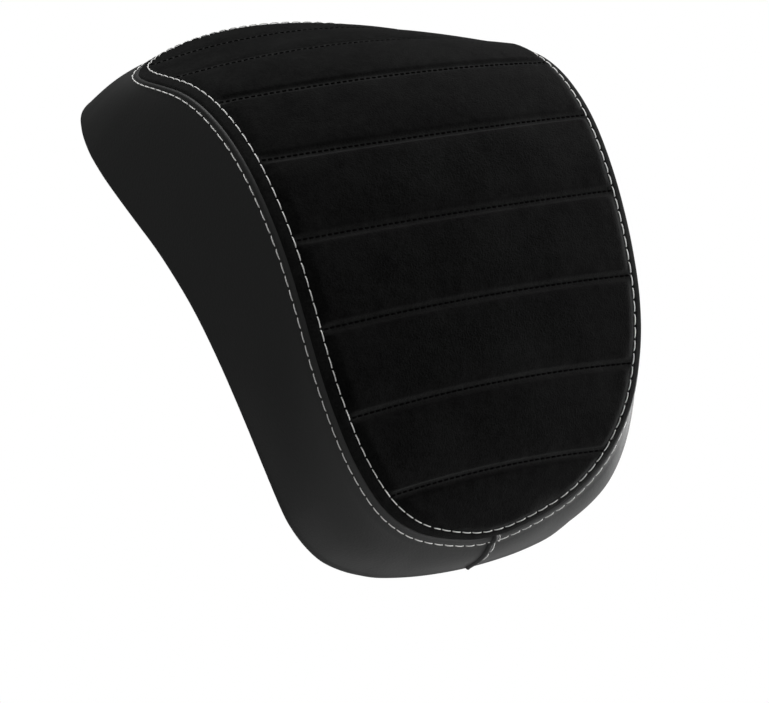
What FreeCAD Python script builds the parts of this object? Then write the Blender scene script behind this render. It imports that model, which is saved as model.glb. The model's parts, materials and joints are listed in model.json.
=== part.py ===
import FreeCAD, Part
import math
import os
from FreeCAD import Vector

# Scooter backrest pad. +Z up, the sewn front faces -Y, X is the width. The origin is the
# centre of the four screw holes, on the plane of the boss ends.

doc = FreeCAD.newDocument("backrest")
sheet = doc.addObject("Spreadsheet::Sheet", "dims")

# Driving sizes in mm and degrees
SIZES = [
    ("channel_pitch", 40.0),
    ("channel_count", 8),
    ("first_channel", 33.4),
    ("panel_foot", -6.0),
    ("panel_head", 361.0),
    ("peak_run", 140.0),
    ("lobe_rise", 3.0),
    ("front_y", -78.0),
    ("front_z", 76.0),
    ("up_radius_a", 185.0),
    ("up_turn_a", 13.5),
    ("up_radius_b", 108.0),
    ("up_turn_b", 42.5),
    ("up_radius_c", 215.0),
    ("up_turn_c", 28.5),
    ("down_radius_a", 255.0),
    ("down_turn_a", 18.0),
    ("down_radius_b", 137.0),
    ("down_turn_b", 42.0),
    ("crown_radius", 450.0),
    ("crown_tilt", 26.0),
    ("crown_sweep", 36.0),
    ("rear_y", -4.0),
    ("rear_bend_z", 27.0),
    ("rear_bend_radius", 150.0),
    ("rear_bend_turn", 38.0),
    ("end_y", 88.0),
    ("end_nose", 24.0),
    ("end_fall", 12.0),
    ("end_flare", 8.8),
    ("end_corner", 24.0),
    ("wall_radius", 95.2),
    ("foot_z", -66.2),
    ("wall_lean", 4.5),
    ("wall_turn_z", 150.0),
    ("wall_turn_radius", 95.0),
    ("wall_draft", 7.0),
    ("wall_datum_y", -31.8),
    ("roll_rise", 0.4),
    ("seam_inset", 3.0),
    ("seam_end_inset", 23.0),
    ("seam_end_radius", 105.0),
    ("leather", 1.5),
    ("suede", 1.5),
    ("quilt_depth", 9.0),
    ("plate", 3.5),
    ("hem", 20.0),
    ("hem_top_z", 150.0),
    ("boss_dia", 14.0),
    ("boss_inner", 12.0),
    ("pilot_dia", 3.0),
    ("pilot_depth", 13.0),
    ("hole_span_x", 80.0),
    ("hole_span_z", 44.0),
    ("rib_width", 3.0),
    ("rib_height", 2.0),
    ("welt_width", 3.2),
    ("welt_top_z", -40.0),
    ("welt_rise", 1.8),
    ("staple_length", 10.0),
    ("staple_width", 1.2),
    ("staple_rise", 0.7),
]
for row, (alias, value) in enumerate(SIZES, start=1):
    sheet.set("A%d" % row, alias)
    sheet.set("B%d" % row, str(value))
    sheet.setAlias("B%d" % row, alias)
doc.recompute()


def size(alias):
    return float(sheet.get(alias))


def rad(alias):
    return math.radians(size(alias))


# Front profile: a chain of tangent arcs up and down from the point furthest forward
UP = [(size("up_radius_" + k), rad("up_turn_" + k)) for k in "abc"]
DOWN = [(size("down_radius_" + k), rad("down_turn_" + k)) for k in "ab"]


def front_at(run, off):
    """Point and lean of the front profile at an arc length from its foot, moved outward by off."""
    rest = run - size("peak_run")
    way = 1.0 if rest >= 0 else -1.0
    rest = abs(rest)
    y, z, lean = size("front_y") - off, size("front_z"), 0.0
    for radius, turn in UP if way > 0 else DOWN:
        part = min(turn, rest / radius)
        new = lean + way * part
        y += (radius + off) * (math.cos(lean) - math.cos(new))
        z += (radius + off) * (math.sin(new) - math.sin(lean))
        lean = new
        rest -= part * radius
        if rest <= 1e-9:
            break
    y += rest * math.sin(lean) * way
    z += rest * math.cos(lean) * way
    return Vector(0, y, z), lean


def run_limits():
    top = size("peak_run") + sum(r * t for r, t in UP)
    foot = size("peak_run") - sum(r * t for r, t in DOWN)
    return foot, top


def front_arc(a, b, off):
    return Part.Arc(front_at(a, off)[0], front_at((a + b) / 2, off)[0], front_at(b, off)[0]).toShape()


def plain_edges(off, start, stop):
    """Plain front profile between two runs, split where its arcs meet."""
    peak = size("peak_run")
    stops = [peak]
    run = peak
    for radius, turn in UP:
        run += radius * turn
        stops.append(run)
    run = peak
    for radius, turn in DOWN:
        run -= radius * turn
        stops.append(run)
    marks = sorted([start, stop] + [s for s in stops if start + 0.01 < s < stop - 0.01])
    return [front_arc(a, b, off) for a, b in zip(marks, marks[1:])]


def channel_runs():
    head = size("panel_head") - 0.3 * size("channel_pitch")
    runs = [size("first_channel") + i * size("channel_pitch") for i in range(int(size("channel_count")))]
    return [r for r in runs if r < head]


def lobed_edges(off):
    """Front profile with one padded lobe between each pair of sewn channels."""
    foot, top = run_limits()
    edges = plain_edges(off, foot, size("panel_foot"))
    marks = [size("panel_foot")] + channel_runs() + [size("panel_head")]
    for a, b in zip(marks, marks[1:]):
        crest = front_at((a + b) / 2, off + size("lobe_rise"))[0]
        edges.append(Part.Arc(front_at(a, off)[0], crest, front_at(b, off)[0]).toShape())
    return edges + plain_edges(off, size("panel_head"), top)


def front_face(edges, off):
    """Closed face behind a front profile, reaching past the pad at the top, back and foot."""
    foot, top = run_limits()
    head, lean = front_at(top, off)
    low = front_at(foot, off)[0]
    far = 2.0 * size("end_y")
    beyond = Vector(0, head.y + far * math.sin(lean), head.z + far * math.cos(lean))
    corner = Vector(0, beyond.y, low.z)
    closing = [Part.makeLine(head, beyond), Part.makeLine(beyond, corner), Part.makeLine(corner, low)]
    return Part.Face(Part.Wire(Part.__sortEdges__(edges + closing)))


def rear_face(off):
    """Face in front of the rear profile: upright below, leaning back above; off moves it forward."""
    y = size("rear_y") - off
    z = size("rear_bend_z")
    radius = size("rear_bend_radius") + off
    turn = rad("rear_bend_turn")

    def on_bend(a):
        return Vector(0, y + radius * (1 - math.cos(a)), z + radius * math.sin(a))

    knee = on_bend(turn)
    # round nose at the head: the rear line runs into it and the head falls away from it
    nose = size("end_nose") - off
    cy = size("end_y") - off - nose
    start_y = cy + nose * math.cos(turn)
    rise = (start_y - knee.y) / math.tan(turn)
    cz = knee.z + rise + nose * math.sin(turn)
    fall = rad("end_fall")

    def on_nose(a):
        return Vector(0, cy + nose * math.cos(a), cz + nose * math.sin(a))

    reach = 3.0 * size("end_y")
    crest = on_nose(math.pi / 2 - fall)
    ahead = Vector(0, crest.y - reach * math.cos(fall), crest.z + reach * math.sin(fall))
    foot = Vector(0, y, -2.0 * size("wall_radius"))
    low = Vector(0, ahead.y, foot.z)
    edges = [
        Part.makeLine(foot, on_bend(0)),
        Part.Arc(on_bend(0), on_bend(turn / 2), knee).toShape(),
        Part.makeLine(knee, on_nose(-turn)),
        Part.Arc(on_nose(-turn), on_nose(0.0), crest).toShape(),
        Part.makeLine(crest, ahead),
        Part.makeLine(ahead, low),
        Part.makeLine(low, foot),
    ]
    return Part.Face(Part.Wire(edges))


def wall_wire(off, y):
    """Outline of the side wall seen from the front: round foot, leaning sides, narrowing head."""
    grow = off + (y - size("wall_datum_y")) * math.tan(rad("wall_draft"))
    lean = rad("wall_lean")
    base = size("wall_radius")
    zc = size("foot_z") + base
    turn_r = size("wall_turn_radius")
    side = base * math.cos(lean) + (size("wall_turn_z") - zc + base * math.sin(lean)) * math.tan(lean)
    cx = side - turn_r * math.cos(lean)
    cz = size("wall_turn_z") + turn_r * math.sin(lean)

    def on_foot(a):
        return Vector((base + grow) * math.cos(a), y, zc + (base + grow) * math.sin(a))

    def on_head(a):
        return Vector(cx + (turn_r + grow) * math.cos(a), y, cz + (turn_r + grow) * math.sin(a))

    def other(v):
        return Vector(-v.x, v.y, v.z)

    low = on_foot(-lean)
    start, middle, stop = on_head(-lean), on_head(math.radians(30)), on_head(math.radians(64))
    return Part.Wire([
        Part.Arc(other(low), Vector(0, y, zc - base - grow), low).toShape(),
        Part.makeLine(low, start),
        Part.Arc(start, middle, stop).toShape(),
        Part.makeLine(stop, other(stop)),
        Part.Arc(other(stop), other(middle), other(start)).toShape(),
        Part.makeLine(other(start), other(low)),
    ])


def plan_face(end, half, corner):
    """Face in plan with a straight back end and round corners; the sides run straight ahead."""
    ahead = 3.0 * size("front_y")
    slant = corner * math.sqrt(0.5)

    def mirrored(v):
        return Vector(-v.x, v.y, 0)

    near, side = Vector(half, ahead, 0), Vector(half, end - corner, 0)
    turn = Vector(half - corner + slant, end - corner + slant, 0)
    back = Vector(half - corner, end, 0)
    edges = [
        Part.makeLine(near, side),
        Part.Arc(side, turn, back).toShape(),
        Part.Arc(mirrored(back), mirrored(turn), mirrored(side)).toShape(),
        Part.makeLine(mirrored(side), mirrored(near)),
        Part.makeLine(mirrored(near), near),
    ]
    if half > corner:
        edges.insert(2, Part.makeLine(back, mirrored(back)))
    return Part.Face(Part.Wire(edges))


def held(name, shape):
    item = doc.addObject("Part::Feature", name)
    item.Shape = shape
    return item


def boolean(kind, name, first, second):
    item = doc.addObject("Part::" + kind, name)
    item.Base = first
    item.Tool = second
    return item


# Building solids that the layers share
def front_solid(name, edges, off):
    face = held(name + "_face", front_face(edges, off))
    turned = doc.addObject("Part::Revolution", name)
    turned.Source = face
    tilt = rad("crown_tilt")
    turned.Axis = Vector(0, math.sin(tilt), math.cos(tilt))
    reach = size("crown_radius")
    back, drop = reach * math.cos(tilt), reach * math.sin(tilt)
    turned.Base = Vector(0, size("front_y") + back, size("front_z") - drop)
    turned.Symmetric = True
    turned.setExpression("Angle", "dims.crown_sweep")
    return turned


def rear_solid(name, off):
    face = held(name + "_face", rear_face(off))
    run = doc.addObject("Part::Extrusion", name)
    run.Base = face
    run.Dir = Vector(1, 0, 0)
    run.Symmetric = True
    run.Solid = True
    run.setExpression("LengthFwd", "4 * dims.wall_radius")
    return run


def wall_solid(name, off):
    near = held(name + "_near", wall_wire(off, 1.6 * size("front_y")))
    far = held(name + "_far", wall_wire(off, 1.6 * size("end_y")))
    loft = doc.addObject("Part::Loft", name)
    loft.Sections = [near, far]
    loft.Solid = True
    loft.Ruled = True
    return loft


def plan_column(name, end, half, corner):
    column = doc.addObject("Part::Extrusion", name)
    column.Base = held(name + "_face", plan_face(end, half, corner))
    column.Dir = Vector(0, 0, 1)
    column.Symmetric = True
    column.Solid = True
    column.setExpression("LengthFwd", "8 * dims.wall_radius")
    return column


def envelope(name, front, rear, off):
    """Pad shape between a front and a rear solid, inside the wall and the round head corners."""
    both = boolean("Common", name + "_slab", front, rear)
    inside = boolean("Common", name + "_cut", both, wall_solid(name + "_wall", off))
    corner = size("end_corner") + off
    half = size("wall_radius") + size("end_flare") + off
    column = plan_column(name + "_plan", size("end_y") + off, half, corner)
    return boolean("Common", name, inside, column)


foot_run, head_run = run_limits()
leather, suede = size("leather"), size("suede")

roll_off = size("roll_rise")
skin_front = front_solid("skin_front", plain_edges(roll_off, foot_run, head_run), roll_off)
lining_off = roll_off - leather
lining_front = front_solid("lining_front", plain_edges(lining_off, foot_run, head_run), lining_off)
core_off = -size("quilt_depth")
core_front = front_solid("core_front", plain_edges(core_off, foot_run, head_run), core_off)
panel_top = front_solid("panel_top", lobed_edges(0.0), 0.0)
panel_under = front_solid("panel_under", lobed_edges(-suede), -suede)
hem_back = rear_solid("hem_back", -leather)
plate_back = rear_solid("plate_back", 0.0)
plate_front = rear_solid("plate_front", size("plate"))
doc.recompute()
skin = envelope("skin", skin_front, hem_back, 0.0)
lining = envelope("lining", lining_front, plate_back, -leather)

# Seam line: the sewn edge of the front panel, inset from the wall of the pad
seam_wall = wall_solid("seam_wall", -size("seam_inset"))
seam_end = size("end_y") - size("seam_end_inset")
seam_column = plan_column("seam_column", seam_end, size("seam_end_radius"), size("seam_end_radius"))
seam_prism = boolean("Common", "seam_prism", seam_wall, seam_column)
seam_cap = boolean("Cut", "seam_cap", seam_prism, core_front)

# Front panel and the sewn padding under it
panel_block = boolean("Common", "panel_block", seam_prism, panel_top)
front_panel = boolean("Cut", "front_panel", panel_block, panel_under)
quilt_block = boolean("Common", "quilt_block", seam_prism, panel_under)
quilt_room = boolean("Common", "quilt_room", quilt_block, plate_front)
quilt_padding = boolean("Cut", "quilt_padding", quilt_room, core_front)

# Moulded plate: a shell along the rear profile with four screw bosses and two ribs
plate_slab = boolean("Cut", "plate_slab", plate_back, plate_front)
plate_shell = boolean("Common", "plate_shell", lining, plate_slab)


def post(name, dia, length, start, sx, sz):
    rod = doc.addObject("Part::Cylinder", name)
    rod.setExpression("Radius", "dims.%s / 2" % dia)
    rod.setExpression("Height", length)
    rod.setExpression("Placement.Base.x", "%d * dims.hole_span_x / 2" % sx)
    rod.setExpression("Placement.Base.y", start)
    rod.setExpression("Placement.Base.z", "%d * dims.hole_span_z / 2" % sz)
    rod.Placement.Rotation = FreeCAD.Rotation(Vector(1, 0, 0), -90)
    return rod


CORNERS = [(-1, -1), (1, -1), (-1, 1), (1, 1)]
bosses = doc.addObject("Part::MultiFuse", "bosses")
bosses.Shapes = [post("boss_%d" % i, "boss_dia", "dims.boss_inner", "-dims.boss_inner", sx, sz)
                 for i, (sx, sz) in enumerate(CORNERS)]
pilots = doc.addObject("Part::MultiFuse", "pilots")
pilots.Shapes = [post("pilot_%d" % i, "pilot_dia", "dims.pilot_depth", "-dims.pilot_depth", sx, sz)
                 for i, (sx, sz) in enumerate(CORNERS)]


def bar(name, length, width, height, x, y, z):
    box = doc.addObject("Part::Box", name)
    box.setExpression("Length", length)
    box.setExpression("Width", width)
    box.setExpression("Height", height)
    box.setExpression("Placement.Base.x", x)
    box.setExpression("Placement.Base.y", y)
    box.setExpression("Placement.Base.z", z)
    return box


ribs = doc.addObject("Part::MultiFuse", "ribs")
ribs.Shapes = [
    bar("rib_%d" % i, "dims.rib_width", "dims.rib_height + dims.plate / 2",
        "dims.hole_span_z - dims.boss_dia / 2",
        "%d * dims.hole_span_x / 2 - dims.rib_width / 2" % sx, "dims.rear_y - dims.plate / 2",
        "(dims.boss_dia / 2 - dims.hole_span_z) / 2")
    for i, sx in enumerate((-1, 1))
]
plate_body = doc.addObject("Part::MultiFuse", "plate_body")
plate_body.Shapes = [plate_shell, bosses, ribs]
base_plate = boolean("Cut", "base_plate", plate_body, pilots)

# Foam core: fills the cover in front of the plate, under the sewn padding
core_room = boolean("Common", "core_room", lining, plate_front)
core_seated = boolean("Cut", "core_seated", core_room, seam_cap)
foam_core = boolean("Cut", "foam_core", core_seated, bosses)

# Side bands: the leather wall and its turned hem, open over the panel and behind the plate
cover = boolean("Cut", "cover", skin, lining)
cover_front = boolean("Cut", "cover_front", cover, seam_cap)
hem_wall = wall_solid("hem_wall", -size("hem"))
hem_room = bar("hem_room", "6 * dims.wall_radius", "6 * dims.wall_radius",
               "dims.hem_top_z + 3 * dims.wall_radius",
               "-3 * dims.wall_radius", "3 * dims.front_y", "-3 * dims.wall_radius")
hem_column = boolean("Common", "hem_column", hem_wall, hem_room)
hem_opening = boolean("Cut", "hem_opening", hem_column, plate_back)
cover_open = boolean("Cut", "cover_open", cover_front, hem_opening)


def half_space(name, side):
    start = "0" if side > 0 else "-3 * dims.wall_radius"
    return bar(name, "3 * dims.wall_radius", "8 * dims.wall_radius", "8 * dims.wall_radius",
               start, "-4 * dims.wall_radius", "-4 * dims.wall_radius")


side_band_left = boolean("Common", "side_band_left", cover_open, half_space("left_half", -1))
side_band_right = boolean("Common", "side_band_right", cover_open, half_space("right_half", 1))

# Join fold: the raised seam where the two bands meet under the foot of the pad
welt_off = size("roll_rise") + size("welt_rise")
welt_front = front_solid("welt_front", plain_edges(welt_off, foot_run, head_run), welt_off)
welt_slice = bar("welt_slice", "dims.welt_width", "-dims.front_y", "2 * dims.wall_radius",
                 "-dims.welt_width / 2", "dims.front_y", "dims.welt_top_z - 2 * dims.wall_radius")
welt_slab = boolean("Common", "welt_slab", welt_front, hem_back)
welt_block = boolean("Common", "welt_block", welt_slab, wall_solid("welt_wall", size("welt_rise")))
welt_strip = boolean("Common", "welt_strip", welt_block, welt_slice)
welt_skin = boolean("Cut", "welt_skin", welt_strip, skin)
join_fold = boolean("Cut", "join_fold", welt_skin, seam_prism)

# Staples: short wire bridges that hold the hem to the plate
staple_bars = []


def staple(x, z, along):
    """One staple on the hem at a place on the rear profile, turned by along about the way out."""
    off = -leather
    bend = size("rear_bend_radius") + off
    turn = rad("rear_bend_turn")
    y = size("rear_y") - off
    rise = z - size("rear_bend_z")
    lean = 0.0
    if rise > 0:
        lean = min(turn, math.asin(min(1.0, rise / bend)))
        y += bend * (1 - math.cos(lean)) + max(0.0, rise - bend * math.sin(turn)) * math.tan(turn)
    box = doc.addObject("Part::Box", "staple_%02d" % len(staple_bars))
    box.setExpression("Length", "dims.staple_length")
    box.setExpression("Width", "dims.staple_rise")
    box.setExpression("Height", "dims.staple_width")
    shift = Vector(-size("staple_length") / 2, 0, -size("staple_width") / 2)
    tilt = FreeCAD.Rotation(Vector(1, 0, 0), -math.degrees(lean))
    spin = FreeCAD.Rotation(Vector(0, 1, 0), along)
    turned = tilt.multiply(spin)
    box.Placement = FreeCAD.Placement(Vector(x, y, z) + turned.multVec(shift), turned)
    staple_bars.append(box)


draft_gain = (size("rear_y") - size("wall_datum_y")) * math.tan(rad("wall_draft"))
hem_line = size("wall_radius") - 0.5 * size("hem") + draft_gain
foot_centre_z = size("foot_z") + size("wall_radius")
for degrees in (-165, -135, -105, -75, -45, -15):
    a = math.radians(degrees)
    staple(hem_line * math.cos(a), foot_centre_z + hem_line * math.sin(a), 90 - degrees)
for side in (-1, 1):
    for share in (0.45, 0.75):
        z = foot_centre_z + share * (size("hem_top_z") - foot_centre_z)
        staple(side * (hem_line + (z - foot_centre_z) * math.tan(rad("wall_lean"))), z, 90)
for share in (-0.6, -0.2, 0.2, 0.6):
    staple(share * hem_line, size("hem_top_z") + 0.5 * size("hem"), 0)
cover_staples = doc.addObject("Part::Compound", "cover_staples")
cover_staples.Links = staple_bars

NODES = {
    "front_panel": front_panel,
    "quilt_padding": quilt_padding,
    "foam_core": foam_core,
    "base_plate": base_plate,
    "side_band_left": side_band_left,
    "side_band_right": side_band_right,
    "join_fold": join_fold,
    "cover_staples": cover_staples,
}
doc.recompute()
for item in doc.Objects:
    if "Invalid" in item.State or "Error" in item.State:
        raise RuntimeError("not built: " + item.Name)
os.makedirs("parts", exist_ok=True)
for label, item in NODES.items():
    shape = item.Shape
    if shape.isNull() or not shape.isValid() or shape.Volume < 1.0:
        raise RuntimeError("bad shape: " + label)
    item.Label = label
    shape.exportStep("parts/%s.step" % label)
    print(label, len(shape.Solids), len(shape.Faces), round(shape.Volume / 1000.0, 2))
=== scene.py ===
import json
import math
import bpy
import numpy as np
from mathutils import Matrix, Vector
from mathutils.kdtree import KDTree

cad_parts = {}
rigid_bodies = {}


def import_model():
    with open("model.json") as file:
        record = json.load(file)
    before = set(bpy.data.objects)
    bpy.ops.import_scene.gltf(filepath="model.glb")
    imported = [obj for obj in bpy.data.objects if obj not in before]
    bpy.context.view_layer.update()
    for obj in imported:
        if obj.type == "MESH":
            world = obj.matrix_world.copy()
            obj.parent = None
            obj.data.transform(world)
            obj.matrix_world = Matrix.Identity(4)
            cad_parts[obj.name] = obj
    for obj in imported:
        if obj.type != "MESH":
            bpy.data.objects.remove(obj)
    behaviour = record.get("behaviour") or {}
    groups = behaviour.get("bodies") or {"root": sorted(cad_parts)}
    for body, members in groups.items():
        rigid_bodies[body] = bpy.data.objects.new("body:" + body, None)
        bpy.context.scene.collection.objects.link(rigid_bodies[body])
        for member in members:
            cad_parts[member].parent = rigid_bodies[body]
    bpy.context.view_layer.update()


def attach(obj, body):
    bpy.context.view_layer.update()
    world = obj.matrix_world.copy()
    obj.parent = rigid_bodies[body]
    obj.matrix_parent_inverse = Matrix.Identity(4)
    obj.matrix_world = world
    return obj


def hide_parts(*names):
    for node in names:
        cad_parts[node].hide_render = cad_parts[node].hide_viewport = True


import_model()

# All lengths are in mm up to the point where a mesh is made
MM = 0.001

# Front profile: arcs (radius, degrees) up and down from the point furthest forward
FRONT_Y, FRONT_Z, PEAK = -78.0, 76.0, 140.0
UP = [(185.0, 13.5), (108.0, 46.6), (430.0, 14.3)]
DOWN = [(255.0, 18.0), (137.0, 42.0)]

# Sewn channels: spacing, place of the first, how many, and the bow of their ends
PITCH, FIRST, COUNT = 40.0, 33.4, 8
MIDDLE, REACH = 3.5, 4.0
BOW, BOW_GROWTH, BOW_WIDTH = 0.04, -0.44, 120.0

# Crown across the front, stronger at the head, and the head's slight drop to one side
CROWN, HEAD_CROWN, CROWN_FROM, CROWN_TO = 0.00052782, 0.6, 230.0, 350.0
HEAD_TILT, TILT_WIDTH, TILT_FROM, TILT_TO = 2.4, 90.0, 200.0, 330.0

# Seam valley, outside the inner row of stitches
SEAM_GAP = 5.1

# Sewn outline: half widths at arc lengths, measured along the inner row of topstitching
HALF = [(0, 0), (13, 1.6), (32, 8), (46.5, 16.4), (60.5, 30.6), (72.7, 52), (80.5, 76.3), (84.6, 99.4),
        (86.6, 124), (87.8, 146), (89.2, 170), (90.3, 190), (91.4, 214), (92.4, 235), (93.2, 258), (93.2, 280),
        (91.5, 303), (86, 321), (78, 331), (68, 339), (52, 345), (27, 351), (0, 353)]

# Panel section: flat channel floor, steep foot of the lobe, soft swell; shallower towards the head
FLOOR_HALF, FOOT_END, FOOT_RISE = 1.1, 3.4, 1.5
SWELL, SWELL_FROM, SWELL_LENGTH = 1.3, 2.0, 6.5
SHALLOW_FROM, SHALLOW_TO, FOOT_LOSS, SWELL_LOSS = 225.0, 300.0, 0.72, 0.3
LAST_FROM, LAST_TO, LAST_LOSS = 318.0, 340.0, 0.5
# How the lobes run out at the stitches, and the turned edge beyond them
FADE, HEAD_FADE, FADE_FROM, FADE_TO = 5.0, 16.0, 335.0, 365.0
EDGE_DROP, EDGE_POWER, TUCK, TUCK_LENGTH = 1.0, 1.7, 1.3, 0.35
DENT, DENT_WIDTH, STRIP_RISE = 0.45, 0.6, 0.35
# Small puckers beside the channels and gathers beside the stitches
PUCKER, PUCKER_STEP, PUCKER_AT, PUCKER_WIDTH = 0.16, 3.1, 4.5, 3.2
GATHER, GATHER_STEP, GATHER_AT, GATHER_WIDTH = 0.12, 2.4, 8.0, 3.0

# Rear of the cover: straight foot, bend, sloped head and rounded nose
TURN, BEND, BEND_Z, REAR_Y = math.radians(38.0), 150.0, 27.0, -4.0
END_Y, NOSE = 90.0, 24.0
COVER = 1.5
BACK_SPREAD = 1.6
# Rear outline: half widths at heights, where the wall turns onto the back
BACK = [(0, -66.8), (25, -65.6), (46, -62.4), (58, -58.5), (67, -54.2), (75, -48.4), (81, -40.5), (85.4, -31.5),
        (88.2, -22), (91.8, -2), (95, 17), (98.5, 37), (101.2, 57), (103.3, 78), (105.2, 100), (106.2, 124),
        (106.6, 149), (106, 162), (104.3, 174), (100.1, 187), (93, 198), (80, 203), (50, 206), (0, 207)]
# Turned hem: its width, and the height where it runs straight across
HEM, HEM_TOP, HEM_TUCK = 20.0, 150.0, 1.4

# Seam edge of the leather: distances along the wall from the seam and heights off it
LIP = [(-0.2, -1.9), (0.0, -1.0), (0.25, -0.2), (0.8, 0.55), (1.6, 0.95), (2.6, 1.05), (3.4, 0.98), (3.8, 0.85),
       (4.1, 0.8), (4.4, 0.88), (5.0, 1.02), (6.5, 1.1)]
STITCH_AT = 8
SEAM_SINK = -1.7
BELLY, FOOT_BELLY = 1.6, 4.4
ROLL, ROLL_END = 4.0, 2.2
WALL_ROWS, ROLL_ROWS, HEM_ROWS = 22, 6, 11

# Threads
THREAD, CHANNEL_THREAD = 0.27, 0.45
STITCH_LENGTH, INNER_PITCH, OUTER_PITCH = 5.3, 6.2, 6.4
CHANNEL_PITCH, CHANNEL_STITCH = 3.1, 1.6


# Curves and heights
def step(a, b, v):
    """Smooth change from 0 at a to 1 at b."""
    t = np.clip((v - a) / (b - a), 0.0, 1.0)
    return t * t * (3 - 2 * t)


def hump(v, at, width):
    return np.exp(-((v - at) / width) ** 2)


def wave(v, seed):
    """Uneven ripple made of three sines."""
    ripple = np.sin(v + seed) + 0.6 * np.sin(v * 2.3 + 1.7 * seed) + 0.4 * np.sin(v * 4.1 + 2.9 * seed)
    return ripple / 2.0


def chain(run):
    """Depth, height and lean of the front profile at arc lengths from its foot."""
    run = np.asarray(run, float)
    y = np.full(run.shape, FRONT_Y)
    z = np.full(run.shape, FRONT_Z)
    lean = np.zeros(run.shape)
    for way, arcs in ((1.0, UP), (-1.0, DOWN)):
        rest = np.maximum(way * (run - PEAK), 0.0)
        here = np.zeros(run.shape)
        for radius, turn in arcs:
            part = np.minimum(math.radians(turn), rest / radius)
            new = here + way * part
            y += radius * (np.cos(here) - np.cos(new))
            z += radius * (np.sin(new) - np.sin(here))
            rest = rest - part * radius
            here = new
        y += way * rest * np.sin(here)
        z += way * rest * np.cos(here)
        lean += here
    return y, z, lean


def to_head(run):
    """0 at the middle channel, growing towards the head."""
    return (run / PITCH - MIDDLE) / REACH


def surface(x, run, rise):
    """Points and outward directions of the crowned front at width x, raised by rise."""
    x, run, rise = np.broadcast_arrays(np.asarray(x, float), run, rise)
    y, z, lean = chain(run)
    crown = CROWN * (1 + to_head(run)) * (1 + HEAD_CROWN * step(CROWN_FROM, CROWN_TO, run))
    out = np.stack([2 * crown * x, -np.cos(lean), np.sin(lean)], -1)
    out /= np.linalg.norm(out, axis=-1, keepdims=True)
    drop = crown * x * x + HEAD_TILT * x / TILT_WIDTH * step(TILT_FROM, TILT_TO, run)
    base = np.stack([x, y + drop * np.cos(lean), z - drop * np.sin(lean)], -1)
    return base + out * rise[..., None], out


def bow(x, run):
    """How far a channel's ends lie below its middle, along the front."""
    return (BOW + BOW_GROWTH * to_head(run)) * (x / BOW_WIDTH) ** 2 * PITCH


def pick(where, at, line):
    """Points of a line at given places along it."""
    return np.stack([np.interp(where, at, line[:, k]) for k in range(line.shape[1])], -1)


def lengths(line):
    gaps = np.linalg.norm(np.diff(line, axis=0), axis=1)
    return np.concatenate([[0], np.cumsum(gaps)])


def closed_curve(points, count):
    """Evenly spaced points of a smooth closed curve through the given ones."""
    p = np.array(points, float)
    n = len(p)
    dense = []
    t = np.linspace(0, 1, 40, endpoint=False)[:, None]
    for i in range(n):
        a, b, c, d = p[i - 1], p[i], p[(i + 1) % n], p[(i + 2) % n]
        bend = 2 * a - 5 * b + 4 * c - d
        twist = 3 * b - a - 3 * c + d
        dense.append(0.5 * (2 * b + (c - a) * t + bend * t ** 2 + twist * t ** 3))
    line = np.concatenate(dense + [dense[0][:1]])
    at = lengths(line)
    return pick(np.linspace(0, at[-1], count, endpoint=False), at, line)


def outward(line):
    t = np.roll(line, -1, 0) - np.roll(line, 1, 0)
    t /= np.linalg.norm(t, axis=1, keepdims=True)
    return np.stack([t[:, 1], -t[:, 0]], -1)


def mirrored(points):
    """Closes a half outline with its mirror image."""
    return points + [(-x, s) for x, s in points[-2:0:-1]]


def nearest(values, target):
    return np.argmin(np.abs(values - target))


# Meshes
def only(piece):
    """Selects one piece alone and makes it active."""
    bpy.ops.object.select_all(action="DESELECT")
    piece.select_set(True)
    bpy.context.view_layer.objects.active = piece


def mesh_piece(name, verts, faces, material):
    mesh = bpy.data.meshes.new(name)
    mesh.from_pydata([tuple(v) for v in np.asarray(verts) * MM], [], faces)
    mesh.validate()
    piece = bpy.data.objects.new(name, mesh)
    bpy.context.collection.objects.link(piece)
    mesh.materials.append(material)
    only(piece)
    bpy.ops.object.mode_set(mode="EDIT")
    bpy.ops.mesh.select_all(action="SELECT")
    bpy.ops.mesh.remove_doubles(threshold=0.00001)
    bpy.ops.mesh.normals_make_consistent(inside=False)
    bpy.ops.object.mode_set(mode="OBJECT")
    bpy.ops.object.shade_smooth()
    return piece


def sheet(name, lines, material):
    """A sheet through a grid of points, one line after the other."""
    rows, cols = lines.shape[:2]
    faces = []
    for r in range(rows - 1):
        for c in range(cols - 1):
            a = r * cols + c
            faces.append((a, a + 1, a + 1 + cols, a + cols))
    return mesh_piece(name, lines.reshape(-1, 3), faces, material)


def tube(name, lines, radius, material, resolution=2):
    """Round threads along short lines, turned from curves into one mesh."""
    curve = bpy.data.curves.new(name, "CURVE")
    curve.dimensions = "3D"
    curve.bevel_depth = radius * MM
    curve.bevel_resolution = resolution
    curve.use_fill_caps = True
    for line in lines:
        spline = curve.splines.new("POLY")
        spline.points.add(len(line) - 1)
        for point, v in zip(spline.points, line):
            point.co = (*(np.asarray(v) * MM), 1.0)
    piece = bpy.data.objects.new(name, curve)
    bpy.context.collection.objects.link(piece)
    only(piece)
    bpy.ops.object.convert(target="MESH")
    piece = bpy.context.view_layer.objects.active
    piece.data.materials.clear()
    piece.data.materials.append(material)
    bpy.ops.object.shade_smooth()
    return piece


def stitch_lines(path, out, pitch, length, lift, sink):
    """Cuts a path into stitches whose ends dip into the cover."""
    shoulder = 0.4 * lift
    shape = ((-0.5, -sink), (-0.42, shoulder), (-0.2, lift),
             (0.2, lift), (0.42, shoulder), (0.5, -sink))
    at = lengths(path)
    count = int(at[-1] / pitch)
    spacing = at[-1] / max(1, count)
    lines = []
    for k in range(count):
        line = []
        for t, rise in shape:
            where = (k + 0.5) * spacing + t * length * spacing / pitch
            line.append(pick(where, at, path) + pick(where, at, out) * rise)
        lines.append(line)
    return lines


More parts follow.
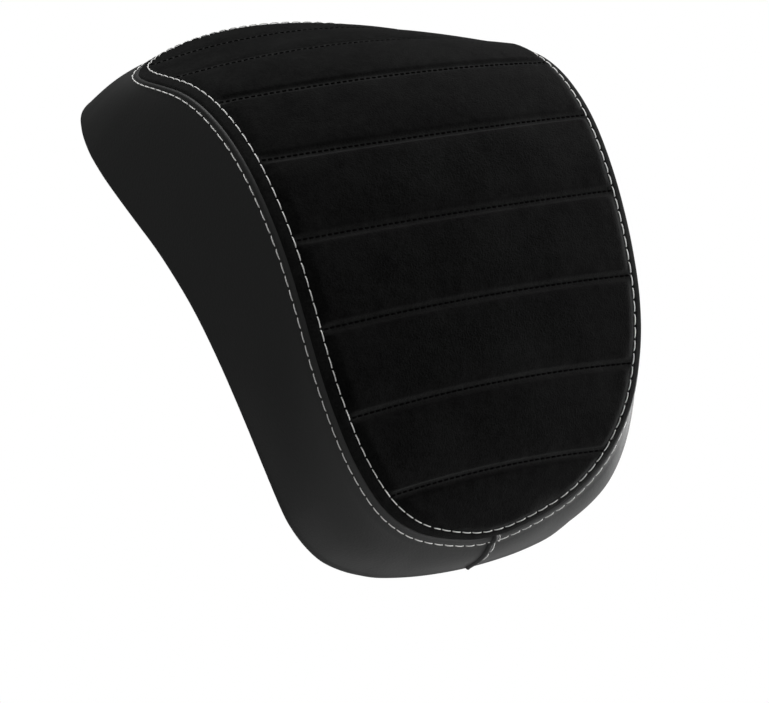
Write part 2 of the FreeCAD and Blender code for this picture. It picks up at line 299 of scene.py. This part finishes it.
# Materials
def new_material(name):
    m = bpy.data.materials.new(name)
    m.use_nodes = True
    nt = m.node_tree
    return m, nt, nt.nodes["Principled BSDF"]


def new_node(nt, kind, **values):
    """Adds a node and sets its inputs; an underscore stands for a space."""
    n = nt.nodes.new(kind)
    for key, value in values.items():
        n.inputs[key.replace("_", " ")].default_value = value
    return n


def noise(nt, coord, **values):
    n = new_node(nt, "ShaderNodeTexNoise", **values)
    nt.links.new(coord.outputs["Object"], n.inputs["Vector"])
    return n.outputs["Fac"]


def add(nt, first, second, weight):
    n = nt.nodes.new("ShaderNodeMath")
    n.operation = "MULTIPLY_ADD"
    n.inputs[1].default_value = weight
    nt.links.new(second, n.inputs[0])
    nt.links.new(first, n.inputs[2])
    return n.outputs[0]


def bumped(nt, bsdf, height, strength, distance):
    bump = new_node(nt, "ShaderNodeBump", Strength=strength, Distance=distance)
    nt.links.new(height, bump.inputs["Height"])
    nt.links.new(bump.outputs["Normal"], bsdf.inputs["Normal"])


def leather_material():
    """Smooth black leather with a fine grain."""
    m, nt, bsdf = new_material("leather")
    coord = nt.nodes.new("ShaderNodeTexCoord")
    grain = nt.nodes.new("ShaderNodeTexVoronoi")
    grain.feature = "SMOOTH_F1"
    grain.inputs["Scale"].default_value = 900.0
    nt.links.new(coord.outputs["Object"], grain.inputs["Vector"])
    fine = noise(nt, coord, Scale=2600.0, Detail=3.0)
    wide = noise(nt, coord, Scale=14.0, Detail=4.0)
    bumped(nt, bsdf, add(nt, grain.outputs["Distance"], fine, 0.5), 0.16, 0.0004)
    rough = new_node(nt, "ShaderNodeMapRange", To_Min=0.46, To_Max=0.56)
    nt.links.new(wide, rough.inputs["Value"])
    nt.links.new(rough.outputs["Result"], bsdf.inputs["Roughness"])
    bsdf.inputs["Base Color"].default_value = (0.012, 0.0125, 0.0122, 1)
    bsdf.inputs["Specular IOR Level"].default_value = 0.42
    return m


def suede_material():
    """Napped black suede: brushed patches, short fibres, paler channel floors, and painted light that lifts the
    shade on the strip outside the stitches.
    """
    m, nt, bsdf = new_material("suede")
    coord = nt.nodes.new("ShaderNodeTexCoord")

    def mixed(factor):
        n = nt.nodes.new("ShaderNodeMix")
        n.data_type = "RGBA"
        nt.links.new(factor, n.inputs["Factor"])
        return n

    patches = noise(nt, coord, Scale=38.0, Detail=4.0, Roughness=0.6)
    nap = noise(nt, coord, Scale=260.0, Detail=5.0, Roughness=0.7)
    fibre = noise(nt, coord, Scale=1100.0, Detail=3.0, Roughness=0.7)
    ramp = new_node(nt, "ShaderNodeMapRange", From_Min=1.3, From_Max=1.95)
    nt.links.new(add(nt, add(nt, patches, nap, 0.9), fibre, 1.3), ramp.inputs["Value"])
    pile = mixed(ramp.outputs["Result"])
    pile.inputs["A"].default_value = (0.0004, 0.0004, 0.00045, 1)
    pile.inputs["B"].default_value = (0.0062, 0.0064, 0.0062, 1)
    # Paler tone for the channel floors; on the strip outside the stitches it is painted light, lifting the
    # shade there
    pale_floor_and_painted_light_tone = mixed(ramp.outputs["Result"])
    pale_floor_and_painted_light_tone.inputs["A"].default_value = (0.0095, 0.0097, 0.0095, 1)
    pale_floor_and_painted_light_tone.inputs["B"].default_value = (0.019, 0.0192, 0.019, 1)
    pale_floor_and_painted_light = nt.nodes.new("ShaderNodeAttribute")
    pale_floor_and_painted_light.attribute_name = "pale_floor_and_painted_light"
    tone = mixed(pale_floor_and_painted_light.outputs["Fac"])
    nt.links.new(pile.outputs["Result"], tone.inputs["A"])
    nt.links.new(pale_floor_and_painted_light_tone.outputs["Result"], tone.inputs["B"])
    nt.links.new(tone.outputs["Result"], bsdf.inputs["Base Color"])
    bumped(nt, bsdf, add(nt, fibre, nap, 0.8), 0.5, 0.0006)
    bsdf.inputs["Roughness"].default_value = 0.95
    bsdf.inputs["Specular IOR Level"].default_value = 0.04
    bsdf.inputs["Sheen Weight"].default_value = 0.03
    bsdf.inputs["Sheen Roughness"].default_value = 0.5
    return m


def plain_material(name, colour, rough, metal=0.0, spec=0.5):
    m, _, bsdf = new_material(name)
    bsdf.inputs["Base Color"].default_value = (*colour, 1)
    bsdf.inputs["Roughness"].default_value = rough
    bsdf.inputs["Metallic"].default_value = metal
    bsdf.inputs["Specular IOR Level"].default_value = spec
    return m


leather = leather_material()
suede = suede_material()
white_thread = plain_material("white_thread", (0.86, 0.86, 0.84), 0.7, 0.0, 0.2)
black_thread = plain_material("black_thread", (0.0035, 0.0035, 0.0035), 1.0, 0.0, 0.0)
plastic = plain_material("black_plastic", (0.012, 0.012, 0.0125), 0.5)
steel = plain_material("staple_steel", (0.55, 0.55, 0.56), 0.35, 1.0)

# Seam lines on the unrolled front
STITCH = closed_curve(mirrored(HALF), 720)
NORMAL = outward(STITCH)
VALLEY = STITCH + SEAM_GAP * NORMAL
half = VALLEY[: len(VALLEY) // 2 + 1]
SEAMS = FIRST + PITCH * np.arange(COUNT)

# Front panel: rows follow the sewn channels, columns close up towards the seam
near_seam = [0, 0.5, 1.0, 1.4, 1.9, 2.4, 2.9, 3.5, 4.3, 5.4, 7, 9, 11.5, 14, 17]
near_end = [0, 0.15, 0.4, 0.8, 1.3, 1.9, 2.6, 3.4, 4.2, 5.0, 5.8, 6.8, 8, 9.5, 11.2, 13]
near_side = [0, 0.4, 0.8, 1.3, 1.9, 2.6, 3.4, 4.1, 4.7, 5.3, 6.1, 7.1, 8.4, 10, 12]
END_ROOM, END_GAP, SIDE_SPAN, COLUMN = 14.0, 0.02, 96.0, 2.0
low, high = VALLEY[:, 1].min() + END_GAP, VALLEY[:, 1].max() - END_GAP
rows = {round(s + way * d, 3) for s in SEAMS for d in near_seam for way in (-1, 1)}
rows.update(round(s + PITCH / 2, 3) for s in SEAMS)
rows = {r for r in rows if low + END_ROOM < r < high - END_ROOM}
rows.update(round(low + e, 3) for e in near_end)
rows.update(round(high - e, 3) for e in near_end)
rows = np.array(sorted(rows))
inset = np.concatenate([near_side, np.arange(END_ROOM, SIDE_SPAN + 0.1, COLUMN)])
share = 1 - inset / SIDE_SPAN
share = np.concatenate([-share, share[:-1][::-1]])


def half_width(row):
    """Half width of the panel where a bowed row meets the seam valley."""
    least = 0.05
    gap = half[:, 1] + bow(half[:, 0], row) - row
    for i in range(len(gap) - 1):
        if gap[i] <= 0 < gap[i + 1] or gap[i + 1] <= 0 < gap[i]:
            t = gap[i] / (gap[i] - gap[i + 1])
            return max(least, half[i, 0] + t * (half[i + 1, 0] - half[i, 0]))
    return least


def to_valley(x, run):
    """Distance from the seam valley, on the unrolled front."""
    flat = np.stack([x.ravel(), run.ravel()], -1)
    best = np.full(len(flat), 1e9)
    for a, b in zip(VALLEY, np.roll(VALLEY, -1, 0)):
        along = np.clip(((flat - a) @ (b - a)) / ((b - a) @ (b - a) + 1e-9), 0, 1)
        np.minimum(best, ((flat - a - along[:, None] * (b - a)) ** 2).sum(1), out=best)
    return np.sqrt(best).reshape(x.shape)


def panel_rise(x, row, d):
    """Height of the sewn panel above the front profile: lobes, flat channel floors and the seam edge."""
    gaps = np.abs(row[..., None] - SEAMS)
    ds, which = gaps.min(-1), gaps.argmin(-1)
    shallow = step(SHALLOW_FROM, SHALLOW_TO, row)
    lobe = FOOT_RISE * (1 - FOOT_LOSS * shallow) * step(FLOOR_HALF, FOOT_END, ds)
    swell = 1 - np.exp(-np.maximum(ds - SWELL_FROM, 0) / SWELL_LENGTH)
    lobe += SWELL * (1 - SWELL_LOSS * shallow) * swell
    lobe += PUCKER * wave(x / PUCKER_STEP, 3.0 * which) * hump(ds, PUCKER_AT, PUCKER_WIDTH)
    lobe *= 1 - LAST_LOSS * step(LAST_FROM, LAST_TO, row)
    fade = FADE + HEAD_FADE * step(FADE_FROM, FADE_TO, row)
    inside = step(SEAM_GAP, SEAM_GAP + fade, d)
    turned = np.clip(1 - d / SEAM_GAP, 0, 1)
    edge = -EDGE_DROP * turned ** EDGE_POWER - TUCK * np.exp(-d / TUCK_LENGTH)
    edge -= DENT * hump(d, SEAM_GAP, DENT_WIDTH)
    edge += GATHER * wave((x + row) / GATHER_STEP, 1.3) * hump(d, GATHER_AT, GATHER_WIDTH)
    return edge + STRIP_RISE * (1 - inside) + inside * lobe


X = np.array([half_width(r) for r in rows])[:, None] * share
ROW = rows[:, None] + 0 * X
RUN = ROW - bow(X, ROW)
DIST = to_valley(X, RUN)
points, _ = surface(X, RUN, panel_rise(X, ROW, DIST))
panel = sheet("front_cover", points, suede)

# Paler channel floors, and faintly the strip outside the stitches, whose paleness there is painted light
# lifting its shade
gap_to_seam = np.min(np.abs(ROW[..., None] - SEAMS), -1)
# The 0.3 term is painted light on the strip outside the stitches, lifting its shade
pale_floor_and_painted_light = np.exp(-(gap_to_seam / 2.3) ** 4) * step(3.0, 9.0, DIST) + 0.3 * (1 - step(3.6, 4.6, DIST))
pale_floor_and_painted_light = pale_floor_and_painted_light.ravel()
tree = KDTree(len(pale_floor_and_painted_light))
for i, p in enumerate(points.reshape(-1, 3) * MM):
    tree.insert(p, i)
tree.balance()
layer = panel.data.attributes.new("pale_floor_and_painted_light", "FLOAT", "POINT")
for v in panel.data.vertices:
    layer.data[v.index].value = pale_floor_and_painted_light[tree.find(v.co)[1]]

# Rear of the cover, from the side
knee_y = REAR_Y + BEND * (1 - math.cos(TURN))
knee_z = BEND_Z + BEND * math.sin(TURN)
nose_y = END_Y - NOSE
nose_low_y = nose_y + NOSE * math.cos(TURN)
nose_low_z = knee_z + (nose_low_y - knee_y) / math.tan(TURN)
nose_z = nose_low_z + NOSE * math.sin(TURN)


def rear_depth(z):
    """Depth of the back of the cover at height z."""
    z = np.asarray(z, float)
    bend = REAR_Y + BEND - np.sqrt(np.maximum(BEND ** 2 - np.clip(z - BEND_Z, 0, BEND) ** 2, 0))
    line = knee_y + (z - knee_z) * math.tan(TURN)
    nose = nose_y + np.sqrt(np.maximum(NOSE ** 2 - np.clip(z - nose_z, -NOSE, NOSE) ** 2, 0))
    upper = np.where(z < knee_z, bend, np.where(z < nose_low_z, line, nose))
    return np.where(z < BEND_Z, REAR_Y, upper) + COVER


BACK_LOOP = closed_curve(mirrored(BACK), 1200)
BACK_OUT = outward(BACK_LOOP)
BACK_LOOP = BACK_LOOP + BACK_SPREAD * BACK_OUT
back_half = BACK_LOOP[: len(BACK_LOOP) // 2 + 1]
rear = np.stack([back_half[:, 0], rear_depth(back_half[:, 1]), back_half[:, 1]], -1)
rear_at = np.linspace(0, 1, len(rear))

# Match seam and rear outline at the foot, above the foot, at the head corner and at the head
SEAM_LOW, SEAM_CORNER, REAR_LOW, REAR_CORNER = 30.0, 326.0, 26.0, 190.0
half_pos, _ = surface(half[:, 0], half[:, 1], 0.0)
half_at = np.linspace(0, 1, len(half))
across_head = 200.0 * (half[:, 0] < 40.0)
seam_keys = [0, half_at[nearest(half_pos[:, 2], SEAM_LOW)],
             half_at[np.argmin(np.abs(half[:, 1] - SEAM_CORNER) + across_head)], 1]
rear_keys = [0, rear_at[nearest(rear[:, 2], REAR_LOW)], rear_at[nearest(rear[:, 2], REAR_CORNER)], 1]
top = nearest(rear[:, 2], HEM_TOP)


def hem_point(at, edge):
    """Inner end of the turned hem on the back."""
    if edge[2] < HEM_TOP:
        nx, nz = pick(at, rear_at, BACK_OUT[: len(rear)])
        x, z = max(0.0, edge[0] - HEM * nx), edge[2] - HEM * nz
        return np.array([x, float(rear_depth(z)), z])
    f = (at - rear_at[top]) / (1 - rear_at[top])
    return np.array([(rear[top, 0] - HEM) * (1 - f), float(rear_depth(HEM_TOP)), HEM_TOP])


def bezier(a, b, c, n):
    t = np.linspace(0, 1, n)[:, None]
    return (1 - t) ** 2 * a + 2 * t * (1 - t) * b + t * t * c


def unit(v):
    return v / max(1e-6, np.linalg.norm(v))


def section(i, sign):
    """Cover line from the seam over the rolled edge, down the wall and onto the back, at half loop i."""
    flip = np.array([sign, 1.0, 1.0])
    x, run = half[i] * flip[:2]
    beyond = 0.5 * NORMAL[i] * flip[:2]
    p, out = surface(x, run, SEAM_SINK)
    away = unit(surface(x + beyond[0], run + beyond[1], SEAM_SINK)[0] - p)
    at = np.interp(half_at[i], seam_keys, rear_keys)
    edge = pick(at, rear_at, rear)
    hem = hem_point(at, edge) * flip
    edge = edge * flip
    down = unit(edge - p)
    face = out + away
    face = unit(face - down * np.dot(face, down))
    line = [p + down * u + face * h for u, h in LIP]
    (first, lip_rise), last = LIP[-1], np.linalg.norm(edge - p) - ROLL
    belly = BELLY + FOOT_BELLY * (1 - step(-10.0, 90.0, p[2])) * step(35.0, 75.0, abs(p[0]))
    for t in np.linspace(0, 1, WALL_ROWS)[1:]:
        puff = lip_rise * (1 - t) + belly * math.sin(math.pi * t ** 0.8)
        line.append(p + down * (first + (last - first) * t) + face * puff)
    way = edge + (hem - edge) * np.linspace(0, 1, HEM_ROWS)[1:, None]
    way[:, 1] = rear_depth(way[:, 2])
    line += list(bezier(line[-1], edge, edge + unit(way[0] - edge) * ROLL_END, ROLL_ROWS)[1:])
    line += list(way[1:])
    line.append(way[-1] - np.array([0, HEM_TUCK, 0]))
    return np.array(line)


def band_lines(sign):
    lines = np.array([section(i, sign) for i in range(len(half))])
    lines[[0, -1], :, 0] = 0.0
    return lines


right_lines, left_lines = band_lines(1.0), band_lines(-1.0)
band_right = sheet("leather_right", right_lines, leather)
band_left = sheet("leather_left", left_lines, leather)

# Twin rows of pale topstitching round the seam
HEAD_LIFT, LIFT_FROM, LIFT_TO = 0.4, 318.0, 345.0
ring = np.concatenate([STITCH, STITCH[:1]])
ring_pos, ring_out = surface(ring[:, 0], ring[:, 1], HEAD_LIFT * step(LIFT_FROM, LIFT_TO, ring[:, 1]))
inner_rows = stitch_lines(ring_pos, ring_out, INNER_PITCH, STITCH_LENGTH, 0.4, 0.45)
both_lines = np.concatenate([right_lines, left_lines[::-1][1:]])
outer_loop = both_lines[:, STITCH_AT]
along = np.roll(outer_loop, -1, 0) - np.roll(outer_loop, 1, 0)
across = both_lines[:, STITCH_AT + 2] - both_lines[:, STITCH_AT - 2]
outer_out = np.cross(along, across)
outer_out /= np.linalg.norm(outer_out, axis=1, keepdims=True)
outer_out *= np.sign(np.sum(outer_out * (outer_loop - outer_loop.mean(0)), 1, keepdims=True))
outer_rows = stitch_lines(outer_loop, outer_out, OUTER_PITCH, STITCH_LENGTH, 0.3, 0.4)
topstitch = tube("topstitching", inner_rows + outer_rows, THREAD, white_thread)

# Dark stitches along the channel floors, ending short of the pale ones
CHANNEL_END, CHANNEL_LIFT = 6.0, 0.05
channel_lines = []
for s in SEAMS:
    w = half_width(s) - CHANNEL_END
    xs = np.linspace(-w, w, 160)
    row = s + 0 * xs
    runs = row - bow(xs, row)
    pos, out = surface(xs, runs, panel_rise(xs, row, to_valley(xs, runs)) + CHANNEL_LIFT)
    channel_lines += stitch_lines(pos, out, CHANNEL_PITCH, CHANNEL_STITCH, CHANNEL_LIFT, 0.1)
channel_stitch = tube("channel_stitching", channel_lines, CHANNEL_THREAD, black_thread, 1)

# Folded join of the two bands under the foot, with its own stitches and a thread end
fold_line = right_lines[0][2:34]
ahead = np.concatenate([fold_line[1:], fold_line[-1:]])
behind = np.concatenate([fold_line[:1], fold_line[:-1]])
fold_side = np.cross(np.array([1.0, 0, 0]), np.array([unit(v) for v in ahead - behind]))
if np.mean(fold_side[:, 2]) > 0:
    fold_side = -fold_side
profile = [(-1.3, -0.6), (-1.0, 0.5), (-0.4, 1.25), (0.4, 1.35), (1.2, 0.95), (2.1, 0.35), (3.0, -0.4)]
slant = np.linspace(3.2, 0.0, len(fold_line))
fold_pts = np.array([[p + np.array([x + s, 0, 0]) + o * h for x, h in profile]
                     for p, o, s in zip(fold_line, fold_side, slant)])
fold = sheet("join_ridge", fold_pts, leather)
JOIN_FROM, JOIN_BESIDE = 8, 2.9
beside = fold_line[JOIN_FROM:].copy()
beside[:, 0] += slant[JOIN_FROM:] + JOIN_BESIDE
join_rows = stitch_lines(beside, fold_side[JOIN_FROM:], 6.0, 4.8, 0.4, 0.3)
end_at = right_lines[0, 4] + np.array([4.4, -1.2, 0.6])
loop_thread = [end_at + np.array([1.0 * math.sin(t) + 0.12 * t, -0.1 * t, 2.0 * math.cos(0.8 * t)])
               for t in np.linspace(-0.6, 4.6, 24)]
join_stitch = tube("join_stitching", join_rows + [loop_thread], THREAD, white_thread)


# Plate: the moulded part as built, trimmed where the cover hides it
def built(name):
    return next(o for o in bpy.data.objects if o.type == "MESH" and o.name.split(".")[0] == name)


PLATE_TOP, RIM_INSET, PLATE_CREASE = 158.0, 6.0, 20.0
source = built("base_plate")
plate = source.copy()
plate.data = source.data.copy()
plate.name = "moulded_plate"
plate.parent = None
plate.matrix_world = source.matrix_world
bpy.context.collection.objects.link(plate)
only(plate)
bpy.ops.object.transform_apply(location=True, rotation=True, scale=True)
bpy.ops.object.mode_set(mode="EDIT")
bpy.ops.mesh.select_all(action="SELECT")
bpy.ops.mesh.bisect(plane_co=(0, 0, PLATE_TOP * MM), plane_no=(0, 0, 1), clear_outer=True, use_fill=True)
bpy.ops.object.mode_set(mode="OBJECT")
rim = BACK_LOOP[::4] - RIM_INSET * BACK_OUT[::4]
count = len(rim)
ends = [(x, y, z) for y in (-80.0, 120.0) for x, z in rim]
sides = [(i, (i + 1) % count, count + (i + 1) % count, count + i) for i in range(count)]
caps = [tuple(range(count))[::-1], tuple(range(count, 2 * count))]
cutter = mesh_piece("rim_cutter", ends, sides + caps, plastic)
trim = plate.modifiers.new("trim", "BOOLEAN")
trim.operation = "INTERSECT"
trim.object = cutter
only(plate)
bpy.ops.object.modifier_apply(modifier="trim")
bpy.data.objects.remove(cutter)
bpy.ops.object.shade_smooth_by_angle(angle=math.radians(PLATE_CREASE))
even_shade = plate.modifiers.new("even_shade", "WEIGHTED_NORMAL")
even_shade.keep_sharp = True
bpy.ops.object.modifier_apply(modifier="even_shade")
for piece, material in ((plate, plastic), (built("cover_staples"), steel)):
    piece.data.materials.clear()
    piece.data.materials.append(material)

for piece in (panel, band_left, band_right, topstitch, channel_stitch, fold, join_stitch, plate):
    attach(piece, "root")
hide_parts("front_panel", "quilt_padding")
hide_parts("side_band_left", "foam_core")
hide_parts("side_band_right")
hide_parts("join_fold")
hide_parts("base_plate")


# Stage in metres: pale floor, soft lights, white surroundings seen by the camera only
def white_to_camera(nt, hidden, white, output):
    """Shows the camera plain white and everything else the hidden shader."""
    ray = nt.nodes.new("ShaderNodeLightPath")
    either = nt.nodes.new("ShaderNodeMixShader")
    nt.links.new(ray.outputs["Is Camera Ray"], either.inputs["Fac"])
    nt.links.new(hidden, either.inputs[1])
    nt.links.new(white, either.inputs[2])
    nt.links.new(either.outputs["Shader"], nt.nodes[output].inputs["Surface"])


def soft_light(name, place, aim, size, power):
    light = bpy.data.lights.new(name, "AREA")
    light.shape = "RECTANGLE"
    light.size, light.size_y = size
    light.energy = power
    item = bpy.data.objects.new(name, light)
    bpy.context.collection.objects.link(item)
    item.location = place
    item.rotation_euler = (Vector(aim) - Vector(place)).to_track_quat("-Z", "Y").to_euler()


bpy.ops.object.select_all(action="DESELECT")
bpy.ops.mesh.primitive_plane_add(size=12.0, location=(0, 0, -0.45))
floor = bpy.context.object
floor.name = "floor"
floor_white, ft, floor_bsdf = new_material("floor_white")
floor_bsdf.inputs["Base Color"].default_value = (0.62, 0.62, 0.62, 1)
floor_bsdf.inputs["Roughness"].default_value = 0.9
glow = new_node(ft, "ShaderNodeEmission", Color=(1, 1, 1, 1))
white_to_camera(ft, floor_bsdf.outputs["BSDF"], glow.outputs["Emission"], "Material Output")
floor.data.materials.append(floor_white)

soft_light("key_right", (1.43, -0.12, -0.12), (0, 0, 0.0), (1.1, 0.6), 36.0)
soft_light("top_box", (0.0, -0.4, 1.75), (0, 0, 0.1), (1.6, 1.6), 36.0)
soft_light("left_fill", (-1.8, -0.4, 0.6), (0, 0, 0.1), (1.4, 1.4), 1.8)

world = bpy.data.worlds.new("studio")
bpy.context.scene.world = world
world.use_nodes = True
wt = world.node_tree
dim = wt.nodes["Background"]
dim.inputs["Color"].default_value = (1, 1, 1, 1)
dim.inputs["Strength"].default_value = 0.10
seen = new_node(wt, "ShaderNodeBackground", Color=(1, 1, 1, 1), Strength=1.0)
white_to_camera(wt, dim.outputs["Background"], seen.outputs["Background"], "World Output")

# Camera placed to match the photo's view
cam_data = bpy.data.cameras.new("camera")
cam = bpy.data.objects.new("camera", cam_data)
bpy.context.collection.objects.link(cam)
right = Vector((0.84418, -0.47866, -0.24134))
up = Vector((0.15641, -0.21068, 0.96496))
toward = Vector((-0.51273, -0.85235, -0.10298))
place = Vector((-0.71277, -1.16412, -0.09872))
cam.matrix_world = Matrix([(right[k], up[k], toward[k], place[k]) for k in range(3)] + [(0, 0, 0, 1)])
cam_data.sensor_fit = "HORIZONTAL"
cam_data.sensor_width = 36.0
cam_data.lens = 133.9
cam_data.clip_start = 0.01
bpy.context.scene.camera = cam
bpy.context.scene.view_settings.view_transform = "Standard"
